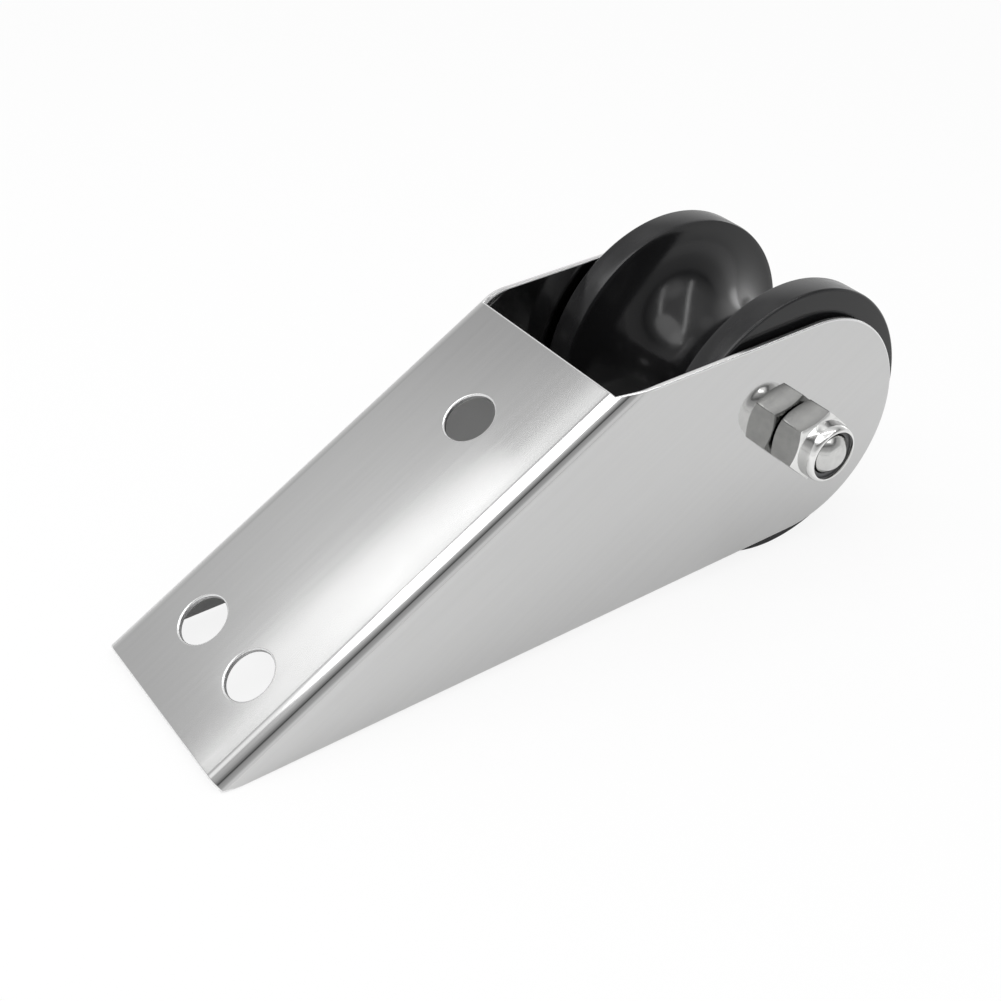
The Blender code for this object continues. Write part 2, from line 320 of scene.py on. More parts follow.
def build_bracket(steel):
    """The sheet, with its blank's coordinates kept as a UV map, and its broken edges marked for a
    painted highlight.

    Each corner of each face keeps the flat blank's true surface direction through the fold, so
    that the mirror finish shows no facets.
    """
    bm = bmesh.new()
    edge_highlight = bm.verts.layers.float.new("painted_edge_highlight")
    inside = bm.verts.layers.float.new("inside")
    leaning = bm.loops.layers.float_vector.new("leaning")
    rings = broken_edge()
    caps = {0: [], len(rings) - 1: []}
    for outline in blank_outlines():
        outward = outward_ways(outline)
        before = None
        for number, (inset, height, out, up) in enumerate(rings):
            ring = [bm.verts.new((x, y, height)) for x, y in drawn_in(outline, inset)]
            for vert in ring:
                vert[edge_highlight] = 0.0 if number in caps else 1.0
                vert[inside] = 1.0 if height < 0.0 else 0.0
            if number in caps:
                caps[number] += [bm.edges.new(pair) for pair in zip(ring, ring[1:] + ring[:1])]
            if before:
                sides = zip(before, before[1:] + before[:1], ring[1:] + ring[:1], ring, outward)
                for a, b, c, d, (first, last) in sides:
                    face = bm.faces.new((a, b, c, d))
                    leans = ((first, was_out, was_up), (last, was_out, was_up),
                             (last, out, up), (first, out, up))
                    for loop, (way, far_out, far_up) in zip(face.loops, leans):
                        loop[leaning] = way * far_out + Vector((0.0, 0.0, far_up))
            before, was_out, was_up = ring, out, up
    for number, edges in caps.items():
        filled = bmesh.ops.triangle_fill(bm, use_beauty=True, use_dissolve=False, edges=edges)["geom"]
        for face in (made for made in filled if isinstance(made, bmesh.types.BMFace)):
            for loop in face.loops:
                loop[leaning] = (0.0, 0.0, rings[number][3])
    for side in (-1.0, 1.0):
        for i in range(BEND_STEPS + 1):
            across = side * (BEND_Y + BEND_LENGTH * i / BEND_STEPS)
            everything = bm.verts[:] + bm.edges[:] + bm.faces[:]
            bmesh.ops.bisect_plane(bm, geom=everything, dist=MERGE_DISTANCE, plane_co=(0.0, across, 0.0),
                                   plane_no=(0.0, 1.0, 0.0))
    blank = bm.loops.layers.uv.new("blank")
    for face in bm.faces:
        for loop in face.loops:
            loop[blank].uv = loop.vert.co.xy
            loop[leaning] = to_row().to_3x3() @ fold_direction(loop[leaning], loop.vert.co.y)
    for vert in bm.verts:
        vert.co = folded(vert.co)
    bmesh.ops.transform(bm, matrix=to_row(), verts=bm.verts)
    bmesh.ops.recalc_face_normals(bm, faces=bm.faces)
    directions = [tuple(loop[leaning]) for face in bm.faces for loop in face.loops]
    bm.loops.layers.float_vector.remove(leaning)
    mesh = bpy.data.meshes.new("sheet_bracket")
    bm.to_mesh(mesh)
    bm.free()
    mesh.shade_smooth()
    mesh.normals_split_custom_set(directions)
    mesh.materials.append(steel)
    return put_in_scene("sheet_bracket", mesh)


# Lathe: one Geometry Nodes tree turns a profile about the axle, mills flats on it and threads it

def build_lathe():
    """A tree that turns a profile of (radius, y) points about the axle.

    Profile points marked +1 or -1 in "milled" start a chamfer that runs out to the hexagon, and
    "drawn" pulls them in from it. "threaded" is the depth of the thread that is cut there.
    """
    tree = bpy.data.node_groups.new("lathe", "GeometryNodeTree")
    tree.interface.new_socket("Geometry", in_out="OUTPUT", socket_type="NodeSocketGeometry")
    for name, kind in (("Profile", "Geometry"), ("Columns", "Int"), ("Axle", "Vector"),
                       ("Across Flats", "Float"), ("Corner Turn", "Float"), ("Corner Rounding", "Float"),
                       ("Chamfer Slope", "Float"), ("Crowding", "Float"), ("Thread Pitch", "Float"),
                       ("Material", "Material")):
        tree.interface.new_socket(name, in_out="INPUT", socket_type=f"NodeSocket{kind}")
    given = tree.nodes.new("NodeGroupInput").outputs
    sixth = math.pi / 3

    rows = add_node(tree, "GeometryNodeAttributeDomainSize", given["Profile"]).outputs["Point Count"]
    columns = calc(tree, "ADD", given["Columns"], 1.0)
    grid = add_node(tree, "GeometryNodeMeshGrid", 1.0, 1.0, columns, rows).outputs["Mesh"]
    index = tree.nodes.new("GeometryNodeInputIndex").outputs[0]
    row = calc(tree, "MODULO", index, rows)
    column = calc(tree, "FLOOR", calc(tree, "DIVIDE", calc(tree, "ADD", index, 0.5), rows))

    def at_row(name, data_type):
        if name:
            field = add_node(tree, "GeometryNodeInputNamedAttribute", name, data_type=data_type)
        else:
            field = tree.nodes.new("GeometryNodeInputPosition")
        sample = add_node(tree, "GeometryNodeSampleIndex", given["Profile"], field.outputs[0], row,
                          data_type=data_type)
        return sample.outputs[0]

    place = add_node(tree, "ShaderNodeSeparateXYZ", at_row(None, "FLOAT_VECTOR"))
    milled = at_row("milled", "FLOAT")
    drawn = at_row("drawn", "FLOAT")
    threaded = at_row("threaded", "FLOAT")

    # Columns crowd towards the hexagon's corners, whose angles are whole sixths of a turn
    sixths = calc(tree, "DIVIDE", calc(tree, "MULTIPLY", column, 6.0), given["Columns"])
    corner = calc(tree, "FLOOR", calc(tree, "ADD", sixths, 0.5))
    off = calc(tree, "MULTIPLY", calc(tree, "SUBTRACT", sixths, corner), 2.0)
    pulled = calc(tree, "POWER", calc(tree, "ABSOLUTE", off), given["Crowding"])
    crowded = calc(tree, "MULTIPLY", calc(tree, "SIGN", off), pulled)
    from_corner = calc(tree, "MULTIPLY", crowded, sixth / 2)
    unturned = calc(tree, "MULTIPLY_ADD", corner, sixth, from_corner)
    turn = calc(tree, "ADD", unturned, given["Corner Turn"])

    # The two flats beside a corner meet in a small rounding
    half_flats = calc(tree, "DIVIDE", given["Across Flats"], 2.0)
    flats = [calc(tree, "DIVIDE", half_flats, calc(tree, "COSINE", calc(tree, "ADD", from_corner, lean)))
             for lean in (-sixth / 2, sixth / 2)]
    hexagon = calc(tree, "SMOOTH_MIN", flats[0], flats[1], given["Corner Rounding"])
    on_hexagon = calc(tree, "ABSOLUTE", milled)
    past_circle = calc(tree, "SUBTRACT", hexagon, place.outputs["X"])
    run_out = calc(tree, "MULTIPLY", past_circle, given["Chamfer Slope"])
    y = calc(tree, "MULTIPLY_ADD", milled, run_out, place.outputs["Y"])
    step_out = calc(tree, "SUBTRACT", calc(tree, "SUBTRACT", hexagon, drawn), place.outputs["X"])
    radius = calc(tree, "MULTIPLY_ADD", on_hexagon, step_out, place.outputs["X"])

    # The thread is a ridge that climbs one pitch in each turn
    turns = calc(tree, "DIVIDE", turn, 2 * math.pi)
    climb = calc(tree, "ADD", calc(tree, "DIVIDE", y, given["Thread Pitch"]), turns)
    valley = remap(tree, calc(tree, "PINGPONG", climb, 0.5), THREAD_CREST, THREAD_ROOT, 0.0, 1.0)
    radius = calc(tree, "SUBTRACT", radius, calc(tree, "MULTIPLY", threaded, valley))

    x = calc(tree, "MULTIPLY", radius, calc(tree, "COSINE", turn))
    z = calc(tree, "MULTIPLY", radius, calc(tree, "SINE", turn))
    spot = add_node(tree, "ShaderNodeCombineXYZ", x, y, z).outputs[0]
    spot = add_node(tree, "ShaderNodeVectorMath", spot, given["Axle"], operation="ADD").outputs[0]
    bent = tree.nodes.new("GeometryNodeSetPosition")
    connect(tree, bent.inputs["Geometry"], grid)
    connect(tree, bent.inputs["Position"], spot)
    closed = tree.nodes.new("GeometryNodeMergeByDistance")
    connect(tree, closed.inputs["Geometry"], bent.outputs[0])
    connect(tree, closed.inputs["Distance"], MERGE_DISTANCE)
    real = add_node(tree, "GeometryNodeRealizeInstances", closed.outputs[0]).outputs[0]
    painted = tree.nodes.new("GeometryNodeSetMaterial")
    connect(tree, painted.inputs["Geometry"], real)
    connect(tree, painted.inputs["Material"], given["Material"])
    tree.links.new(painted.outputs[0], tree.nodes.new("NodeGroupOutput").inputs[0])
    return tree


def set_inputs(modifier, values):
    """Give a Geometry Nodes modifier its named inputs, through their identifiers."""
    for item in modifier.node_group.interface.items_tree:
        if item.name in values and item.in_out == "INPUT":
            modifier[item.identifier] = values[item.name]


def turned(name, profile, material, columns=TURNED_STEPS, crowding=1.0):
    """A closed solid turned from (radius, y) points, each with any milling, drawing-in and thread."""
    rows = [tuple(point) + (0.0,) * (5 - len(point)) for point in profile]
    mesh = bpy.data.meshes.new(name + "_profile")
    links = [(i, i + 1) for i in range(len(rows) - 1)]
    mesh.from_pydata([(radius, y, 0.0) for radius, y, _, _, _ in rows], links, [])
    for name_of, place in (("milled", 2), ("drawn", 3), ("threaded", 4)):
        layer = mesh.attributes.new(name_of, "FLOAT", "POINT")
        layer.data.foreach_set("value", [row[place] for row in rows])
    source = put_in_scene(name + "_profile", mesh)
    modifier = source.modifiers.new("lathe", "NODES")
    modifier.node_group = LATHE
    set_inputs(modifier, {"Columns": columns, "Axle": (AXLE.x, 0.0, AXLE.z), "Across Flats": HEX_FLATS,
                          "Corner Turn": HEX_TURN, "Corner Rounding": 2 * SOFT_EDGE,
                          "Chamfer Slope": math.tan(CHAMFER_ANGLE), "Crowding": crowding,
                          "Thread Pitch": THREAD_PITCH, "Material": material})
    depsgraph = bpy.context.evaluated_depsgraph_get()
    result = bpy.data.meshes.new_from_object(source.evaluated_get(depsgraph), depsgraph=depsgraph)
    bpy.data.objects.remove(source, do_unlink=True)
    bm = bmesh.new()
    bm.from_mesh(result)
    bmesh.ops.recalc_face_normals(bm, faces=bm.faces)
    bm.to_mesh(result)
    bm.free()
    result.name = name
    result.shade_smooth()
    result.set_sharp_from_angle(angle=CREASE_ANGLE)
    return put_in_scene(name, result)


def softened(before, corner, after, size=SOFT_EDGE):
    """Three points that ease the corner of a turned profile, for a small bright edge."""
    here = Vector(corner)
    first = here + (Vector(before) - here).normalized() * size
    last = here + (Vector(after) - here).normalized() * size
    middle = here * 0.5 + (first + last) * 0.25
    return [tuple(first), tuple(middle), tuple(last)]


def eased(points, size=SOFT_EDGE):
    """A turned profile that closes on itself, with every corner softened."""
    rounded = []
    for before, here, after in zip(points[-1:] + points[:-1], points, points[1:] + points[:1]):
        rounded += softened(before, here, after, size)
    return rounded + rounded[:1]


def milled_edge(y, way):
    """Profile points from a face's flat circle out over its chamfer to the hexagon's flats.

    Way is the sign of the step in y from this face towards the middle of the hexagon.
    """
    face_edge = softened((0.0, y), (FLAT_CIRCLE, y),
                         (FLAT_CIRCLE + MM, y + way * MM * math.tan(CHAMFER_ANGLE)))
    cos, sin = math.cos(CHAMFER_ANGLE), math.sin(CHAMFER_ANGLE)
    on_chamfer = (FLAT_CIRCLE, y - way * SOFT_EDGE * sin, way, SOFT_EDGE * cos)
    between = (FLAT_CIRCLE, y + way * SOFT_EDGE * (1 - sin) / 4, way, SOFT_EDGE * cos / 4)
    on_flat = (FLAT_CIRCLE, y + way * SOFT_EDGE, way, 0.0)
    return face_edge + [on_chamfer, between, on_flat]


def threads(radius, start, end):
    """Profile points of a threaded length, whose thread fades in at both ends."""
    rows = max(2, round(abs(end - start) / THREAD_PITCH * THREAD_ROWS_PER_TURN))
    points = []
    for i in range(rows + 1):
        share = i / rows
        fade = min(1.0, share * rows / THREAD_ROWS_PER_TURN, (1.0 - share) * rows / THREAD_ROWS_PER_TURN)
        points.append((radius, start + (end - start) * share, 0.0, 0.0, THREAD_DEPTH * fade))
    return points


def build_roller(rubber):
    half = ROLLER_HALF_WIDTH
    groove_half = half - RIM_WIDTH
    depth = ROLLER_RADIUS - WAIST_RADIUS
    side = softened((BORE_RADIUS, 0.0), (BORE_RADIUS, HUB_HALF_WIDTH), (POCKET_RADIUS, HUB_HALF_WIDTH))
    side += [(POCKET_RADIUS, HUB_HALF_WIDTH)]
    side += softened((POCKET_RADIUS, HUB_HALF_WIDTH), (POCKET_RADIUS, half), (ROLLER_RADIUS, half))
    side += arc((ROLLER_RADIUS - RIM_ROUNDING, half - RIM_ROUNDING), RIM_ROUNDING, math.pi / 2, 0.0,
                ROUNDING_STEPS)
    side += softened((ROLLER_RADIUS, half), (ROLLER_RADIUS, groove_half), (WAIST_RADIUS, groove_half),
                     GROOVE_EDGE_ROUNDING)
    turns = [math.pi * i / GROOVE_STEPS for i in range(2, GROOVE_STEPS - 1)]
    groove = [(ROLLER_RADIUS - depth * math.sin(t), groove_half * math.cos(t)) for t in turns]
    profile = side + groove + [(radius, -y) for radius, y in reversed(side)]
    return turned("grooved_roller", profile + profile[:1], rubber, columns=ROLLER_STEPS)


def ring(name, inner, outer, start, end, material):
    """A plain ring with eased edges, such as a washer or a sleeve."""
    return turned(name, eased([(inner, start), (outer, start), (outer, end), (inner, end)]), material)


def build_bolt(steel):
    """Bolt with its head on the far side and its pointed, threaded end past the lock nut."""
    head_end = HEAD_SEAT + HEAD_HEIGHT
    thread_start = -HALF_WIDTH + SHEET
    profile = [(0.0, head_end)] + milled_edge(head_end, -1.0)
    profile += list(reversed(milled_edge(HEAD_SEAT, 1.0)))
    profile += [(BOLT_RADIUS, HEAD_SEAT), (BOLT_RADIUS, thread_start)]
    point = (BOLT_RADIUS, BOLT_TIP + BOLT_POINT)
    face = (BOLT_FACE_RADIUS, BOLT_TIP)
    profile += threads(BOLT_RADIUS, thread_start, point[1] + SOFT_EDGE)
    profile += softened((BOLT_RADIUS, thread_start), point, face, POINT_EASE)
    profile += softened(point, face, (0.0, BOLT_TIP), FACE_EASE) + [(0.0, BOLT_TIP)]
    return turned("milled_bolt", profile, steel, columns=HEX_COLUMNS, crowding=CORNER_CROWDING)


def build_lock_nut(steel):
    """Nut with a turned collar, whose lip is rolled in over the nylon ring."""
    lip_inside = HEX_END - FIT - INSERT_HEIGHT - FIT
    lip_radius = INSERT_RADIUS - COLLAR_LIP
    profile = [(RUNNING_RADIUS, NUT_SEAT - COUNTERSINK), (RUNNING_RADIUS + COUNTERSINK, NUT_SEAT)]
    profile += milled_edge(NUT_SEAT, -1.0) + list(reversed(milled_edge(HEX_END, 1.0)))
    profile += softened((FLAT_CIRCLE, HEX_END), (COLLAR_RADIUS, HEX_END), (COLLAR_RADIUS, NUT_END),
                        SOFT_EDGE / 2)
    shoulder_width = (COLLAR_RADIUS - lip_radius) * COLLAR_SHOULDER_SHARE
    shoulder = arc((0.0, 0.0), 1.0, 0.0, -math.pi / 2, COLLAR_SHOULDER_STEPS)
    profile += [(COLLAR_RADIUS - shoulder_width * (1.0 - across),
                 NUT_END + COLLAR_SHOULDER * (1.0 + along)) for across, along in shoulder]
    profile += softened((COLLAR_RADIUS - shoulder_width, NUT_END), (lip_radius, NUT_END),
                        (lip_radius, lip_inside), SOFT_EDGE / 2)
    profile += [(lip_radius, lip_inside), (COLLAR_POCKET, lip_inside)]
    profile += [(COLLAR_POCKET, HEX_END), (RUNNING_RADIUS, HEX_END)]
    return turned("milled_lock_nut", profile + profile[:1], steel, columns=HEX_COLUMNS,
                  crowding=CORNER_CROWDING)


# Finishes

# The sheet's finish against its outer web: painted shade darkening the inner face and its added
# roughness, added roughness of the broken edges, and the cheeks' share of the web's roughness
INNER_FACE_PAINTED_SHADE = 0.75
INNER_FACE_ROUGHER = 0.15
EDGE_ROUGHER = 0.2
CHEEK_FINER = 0.45


def new_material(name, colour, metallic, roughness):
    material = bpy.data.materials.new(name)
    material.use_nodes = True
    shader = material.node_tree.nodes["Principled BSDF"]
    shader.inputs["Base Color"].default_value = (*colour, 1.0)
    shader.inputs["Metallic"].default_value = metallic
    shader.inputs["Roughness"].default_value = roughness
    return material, material.node_tree, shader


def noise(tree, place, scale, detail=2.0, roughness=0.5):
    """Noise at so many grains a metre in each direction of a place."""
    stretched = add_node(tree, "ShaderNodeMapping", place)
    stretched.inputs["Scale"].default_value = scale
    made = tree.nodes.new("ShaderNodeTexNoise")
    connect(tree, made.inputs["Vector"], stretched.outputs[0])
    made.inputs["Scale"].default_value = 1.0
    made.inputs["Detail"].default_value = detail
    made.inputs["Roughness"].default_value = roughness
    return made.outputs["Fac"]


def from_axle(tree, place):
    """A place, counted from the middle of the axle."""
    centred = add_node(tree, "ShaderNodeMapping", place)
    centred.inputs["Location"].default_value = (-AXLE.x, 0.0, -AXLE.z)
    return centred.outputs[0]


def axle_radius(tree, parts):
    """The distance from the axle's line, from the parts of a place counted from the axle."""
    squares = calc(tree, "ADD", calc(tree, "MULTIPLY", parts["X"], parts["X"]),
                   calc(tree, "MULTIPLY", parts["Z"], parts["Z"]))
    return calc(tree, "SQRT", squares)


def tint(tree, share, low, high):
    """A colour between two others, each a node's output or plain red, green and blue."""
    made = tree.nodes.new("ShaderNodeMix")
    made.data_type = "RGBA"
    connect(tree, made.inputs[0], share)
    for socket, colour in ((made.inputs[6], low), (made.inputs[7], high)):
        connect(tree, socket, colour if isinstance(colour, bpy.types.NodeSocket) else (*colour, 1.0))
    return made.outputs[2]


def bump(tree, height, distance, strength=1.0, under=None):
    made = tree.nodes.new("ShaderNodeBump")
    made.inputs["Strength"].default_value = strength
    made.inputs["Distance"].default_value = distance
    connect(tree, made.inputs["Height"], height)
    if under:
        connect(tree, made.inputs["Normal"], under)
    return made.outputs[0]


def polished_stainless():
    """Sheet polished to a mirror, with faint hairlines along the blank and a painted highlight on its
    broken edges.

    The sheet's inner face is rougher, since only the outside was buffed, and its colour is darkened as
    painted shade inside the channel.
    """
    material, tree, shader = new_material("polished_stainless", (0.6, 0.6, 0.6), 1.0, 0.1)
    blank = tree.nodes.new("ShaderNodeUVMap")
    blank.uv_map = "blank"
    place = blank.outputs[0]
    grain = noise(tree, place, (90.0, 4200.0, 1.0), 3.0, 0.6)
    streaks = noise(tree, place, (25.0, 700.0, 1.0), 2.0, 0.5)
    clouds = noise(tree, place, (38.0, 60.0, 1.0), 3.0, 0.55)
    edge_highlight = add_node(tree, "ShaderNodeAttribute", attribute_name="painted_edge_highlight").outputs["Fac"]
    flat = tint(tree, remap(tree, streaks, 0.3, 0.7, 0.0, 1.0), (0.595, 0.595, 0.593),
                (0.61, 0.61, 0.608))
    # Painted highlight: the broken edges get a far brighter colour than the flat sheet
    bright = tint(tree, edge_highlight, flat, (0.9, 0.9, 0.9))
    inside = add_node(tree, "ShaderNodeAttribute", attribute_name="inside").outputs["Fac"]
    # Painted shade: the inner face, inside the channel, is darkened
    shade = add_node(tree, "ShaderNodeVectorMath", bright, operation="SCALE")
    connect(tree, shade.inputs["Scale"], remap(tree, inside, 0.0, 1.0, 1.0, INNER_FACE_PAINTED_SHADE))
    connect(tree, shader.inputs["Base Color"], shade.outputs[0])
    rough = calc(tree, "ADD", remap(tree, clouds, 0.3, 0.7, 0.085, 0.105),
                 remap(tree, streaks, 0.3, 0.7, 0.0, 0.015))
    rough = calc(tree, "MULTIPLY_ADD", inside, INNER_FACE_ROUGHER, rough)
    across = calc(tree, "ABSOLUTE", add_node(tree, "ShaderNodeSeparateXYZ", place).outputs["Y"])
    finer = remap(tree, across, BEND_Y, BEND_Y + BEND_LENGTH, 1.0, CHEEK_FINER)
    rough = calc(tree, "MULTIPLY_ADD", edge_highlight, EDGE_ROUGHER, calc(tree, "MULTIPLY", rough, finer))
    connect(tree, shader.inputs["Roughness"], rough)
    lines = calc(tree, "MULTIPLY", grain, calc(tree, "SUBTRACT", 1.0, edge_highlight))
    connect(tree, shader.inputs["Normal"], bump(tree, lines, 0.0006 * MM, 0.2))
    return material


def past_chamfer(tree, place, hex_end):
    """1 on a near hexagon's turned chamfer and on all that lies past it, 0 on its flats."""
    parts = add_node(tree, "ShaderNodeSeparateXYZ", from_axle(tree, place)).outputs
    run_out = calc(tree, "MULTIPLY", calc(tree, "SUBTRACT", axle_radius(tree, parts), FLAT_CIRCLE),
                   math.tan(CHAMFER_ANGLE))
    short_of_it = calc(tree, "SUBTRACT", calc(tree, "SUBTRACT", parts["Y"], hex_end), run_out)
    return remap(tree, short_of_it, SOFT_EDGE / 2, SOFT_EDGE, 1.0, 0.0)


def milled_steel(name, low, high, roughness, turned_and_highlight_colour, hex_end):
    """Bar steel with drawn lines along the axle, brighter where it was turned past its hexagon: partly
    the turned finish, partly a painted highlight.
    """
    material, tree, shader = new_material(name, high, 1.0, roughness)
    place = add_node(tree, "ShaderNodeTexCoord").outputs["Object"]
    drawn = noise(tree, place, (2600.0, 160.0, 2600.0), 2.0, 0.6)
    patches = noise(tree, place, (420.0, 420.0, 420.0), 3.0, 0.6)
    milled = tint(tree, remap(tree, patches, 0.35, 0.65, 0.0, 1.0), low, high)
    # Past the chamfer the colour is brighter, partly as turned steel and partly as a painted highlight
    colour = tint(tree, past_chamfer(tree, place, hex_end), milled, turned_and_highlight_colour)
    connect(tree, shader.inputs["Base Color"], colour)
    connect(tree, shader.inputs["Roughness"],
            remap(tree, drawn, 0.3, 0.7, roughness - 0.03, roughness + 0.04))
    connect(tree, shader.inputs["Normal"], bump(tree, drawn, 0.003 * MM, 0.3))
    return material


def moulded_rubber():
    """Black roller compound with a fine mould grain, faint rings from the mould and scuffed rims."""
    material, tree, shader = new_material("moulded_rubber", (0.018, 0.018, 0.019), 0.0, 0.4)
    place = add_node(tree, "ShaderNodeTexCoord").outputs["Object"]
    parts = add_node(tree, "ShaderNodeSeparateXYZ", from_axle(tree, place)).outputs
    radius = axle_radius(tree, parts)
    ringwise = add_node(tree, "ShaderNodeCombineXYZ", radius, parts["Y"], 0.0).outputs[0]
    rings = noise(tree, ringwise, (900.0, 900.0, 1.0), 2.0, 0.6)
    grain = noise(tree, place, (3200.0, 3200.0, 3200.0), 2.0, 0.6)
    smears = noise(tree, place, (70.0, 140.0, 70.0), 4.0, 0.6)
    scuffs = remap(tree, radius, ROLLER_RADIUS - 1.5 * MM, ROLLER_RADIUS, 0.0, 1.0)
    worn = calc(tree, "MULTIPLY", scuffs, remap(tree, smears, 0.4, 0.7, 0.3, 1.0))
    colour = tint(tree, worn, (0.008, 0.008, 0.0085), (0.018, 0.018, 0.019))
    connect(tree, shader.inputs["Base Color"], colour)
    rough = calc(tree, "ADD", remap(tree, smears, 0.3, 0.7, 0.12, 0.18),
                 calc(tree, "MULTIPLY", scuffs, 0.06))
    connect(tree, shader.inputs["Roughness"], rough)
    shader.inputs["Specular IOR Level"].default_value = 0.4
    fine = bump(tree, grain, 0.02 * MM, 0.3)
    connect(tree, shader.inputs["Normal"], bump(tree, rings, 0.02 * MM, 0.25, fine))
    return material


def moulded_nylon(name, low, high):
    """Slightly cloudy nylon with turning marks."""
    material, tree, shader = new_material(name, high, 0.0, 0.45)
    place = add_node(tree, "ShaderNodeTexCoord").outputs["Object"]
    clouds = noise(tree, place, (300.0, 300.0, 300.0), 3.0, 0.6)
    marks = noise(tree, place, (500.0, 6000.0, 500.0), 2.0, 0.6)
    colour = tint(tree, remap(tree, clouds, 0.3, 0.7, 0.0, 1.0), low, high)
    connect(tree, shader.inputs["Base Color"], colour)
    connect(tree, shader.inputs["Roughness"], remap(tree, marks, 0.3, 0.7, 0.38, 0.52))
    connect(tree, shader.inputs["Normal"], bump(tree, marks, 0.01 * MM, 0.3))
    return material


# The object

LATHE = build_lathe()
# The nut's chamfer and collar are far brighter than its flats, partly a painted highlight
nut_steel = milled_steel("nut_steel", (0.37, 0.37, 0.365), (0.41, 0.41, 0.4), 0.13,
                         (0.85, 0.85, 0.84), HEX_END)
bolt_steel = milled_steel("bolt_steel", (0.6, 0.6, 0.59), (0.68, 0.68, 0.67), 0.15,
                          (0.75, 0.75, 0.74), NUT_END)
bush_nylon = moulded_nylon("bush_nylon", (0.3, 0.3, 0.31), (0.38, 0.38, 0.39))
washer_nylon = moulded_nylon("washer_nylon", (0.7, 0.69, 0.65), (0.8, 0.79, 0.75))
ring_nylon = moulded_nylon("ring_nylon", (0.09, 0.09, 0.092), (0.13, 0.13, 0.132))
insert_start = HEX_END - FIT
washer_inside = WASHER_OUTSIDE - WASHER_THICKNESS

dressed = [
    (build_bracket(polished_stainless()), "bracket", "channel_bracket", "sheet_steel"),
    (build_roller(moulded_rubber()), "roller_body", "roller", "roller_rubber"),
    (ring("turned_bush", RUNNING_RADIUS, BUSH_RADIUS, -HUB_HALF_WIDTH, HUB_HALF_WIDTH, bush_nylon),
     "roller_body", "roller_bush", "bush_nylon"),
    (ring("near_washer", RUNNING_RADIUS, WASHER_RADIUS, -washer_inside, -WASHER_OUTSIDE, washer_nylon),
     "bracket", "near_thrust_washer", "washer_nylon"),
    (ring("far_washer", RUNNING_RADIUS, WASHER_RADIUS, washer_inside, WASHER_OUTSIDE, washer_nylon),
     "bracket", "far_thrust_washer", "washer_nylon"),
    (build_bolt(bolt_steel), "bracket", "axle_bolt", "bolt_steel"),
    (build_lock_nut(nut_steel), "bracket", "lock_nut", "nut_steel"),
    (ring("lock_ring", RUNNING_RADIUS, INSERT_RADIUS, insert_start, insert_start - INSERT_HEIGHT,
          ring_nylon), "bracket", "lock_nut_insert", "insert_nylon"),
]
for piece, body, node, finish in dressed:
    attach(piece, body)
    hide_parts(node)


# Studio: floor, world, lamps and camera

FLOOR_SIZE = 4.0

# Shares of pure white in the floor that the camera sees, and in the one that steel mirrors
FLOOR_WHITE_SEEN = 0.88
FLOOR_WHITE_MIRRORED = 0.12

# Light that the plain surfaces get from the room
WORLD_LIGHT = 0.8

# Brightness of the room that steel mirrors, by the sine of the height above the horizon
ROOM_BEHIND_PART = ((0.0, 0.85), (0.3, 0.72), (0.5, 0.64), (0.6, 0.55), (0.68, 0.52), (0.76, 0.56),
                    (1.0, 0.9))
ROOM_BEHIND_CAMERA = ((0.0, 0.9), (0.12, 0.87), (0.34, 0.5), (0.5, 0.42), (0.59, 0.08), (0.66, 0.3),
                      (0.75, 0.53), (0.82, 0.8), (1.0, 0.9))

# Y of a direction, to either side of 0, over which the two halves of the room blend
ROOM_BLEND = 0.25

# Lit spots of that room: azimuth from +Y towards +X, elevation and spread in degrees, and brightness
LIT_SPOTS = ((-31.0, 44.0, 13.0, 0.34), (-60.0, 51.0, 16.0, 0.75), (159.0, 52.0, 16.0, 0.8),
             (22.0, 53.0, 14.0, 0.3), (50.0, 28.0, 25.0, 0.3), (68.0, 3.0, 15.0, 1.0))

# How far from the web its own lamps stand
WEB_LAMP_DISTANCE = 0.5

# Lamps that the web mirrors: the place on the web in millimetres, the way from it to the lamp, the
# lamp's slant along the web, its size, radiance and shape
WEB_LAMPS = (
    ("web_softbox", (53.0, -16.5), (-0.350, 0.681, 0.643), -0.06, (0.20, 0.021), 0.78, "ELLIPSE"),
    ("bend_strip", (62.0, -21.9), (-0.330, 0.665, 0.670), -0.005, (0.33, 0.006), 1.8, "RECTANGLE"))

# Lamps under the ceiling: place, the way of the long side, size, radiance and shape
CEILING_HEIGHT = 0.57
CEILING_LAMPS = (("ceiling_panel", (-0.204, 0.013), (1.0, 0.198), (0.36, 0.66), 1.7, "ELLIPSE"),
                 ("near_tube", (-0.05, -0.301), (1.0, -0.8), (0.80, 0.032), 6.0, "RECTANGLE"),
                 ("far_tube", (0.13, 0.042), (1.0, -0.8), (1.05, 0.032), 6.0, "RECTANGLE"))

# Camera fitted to the photograph: lens in millimetres, place, and azimuth, elevation and roll
CAMERA_LENS = 55.78
CAMERA_PLACE = (-0.10490, -0.24184, 0.22495)
CAMERA_AZIMUTH = math.radians(36.384)
CAMERA_ELEVATION = math.radians(35.436)
CAMERA_ROLL = math.radians(2.213)


